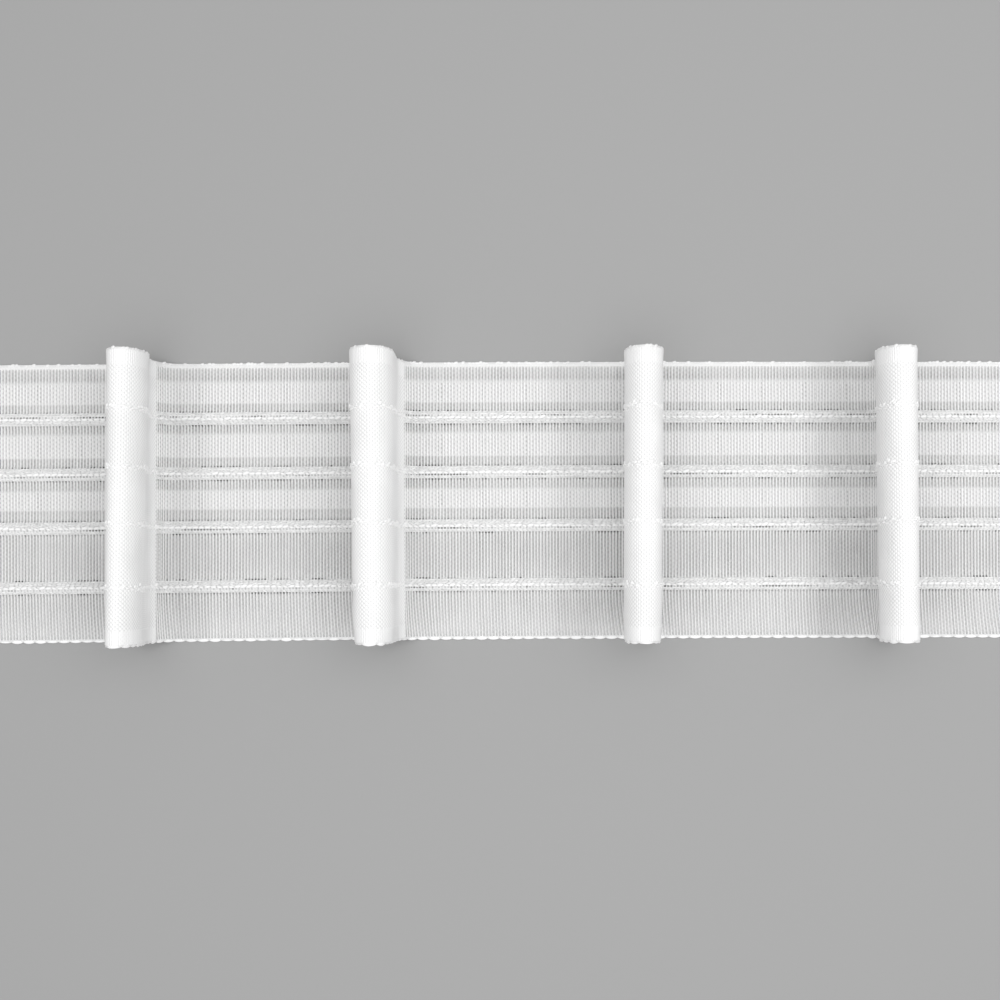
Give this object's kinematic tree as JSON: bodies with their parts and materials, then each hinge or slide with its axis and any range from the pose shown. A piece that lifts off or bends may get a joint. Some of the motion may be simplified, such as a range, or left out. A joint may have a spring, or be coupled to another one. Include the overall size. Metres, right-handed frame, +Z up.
{
  "type": "pleated curtain heading tape",
  "caption": "Cut length of white woven curtain heading tape, lying flat with rounded upright pleats drawn up on cords that run in raised woven channels.",
  "frame": {"origin": "on the surface that the tape lies on, under the middle of its bounding box", "axes": "+X along the tape to the picture's right, +Y across it to the picture's top, +Z up, the way the pleats stand"},
  "size_m": [0.284, 0.0756, 0.0322],
  "materials": {
    "tape_weave": "matt woven polyester, sheer ribbed bands and denser bands",
    "cord_yarn": "twisted multifilament cord with a slight sheen"
  },
  "bodies": {
    "root": {"heading_tape": "tape_weave", "drawcord_1": "cord_yarn", "drawcord_2": "cord_yarn", "drawcord_3": "cord_yarn", "drawcord_4": "cord_yarn"}
  },
  "joints": []
}
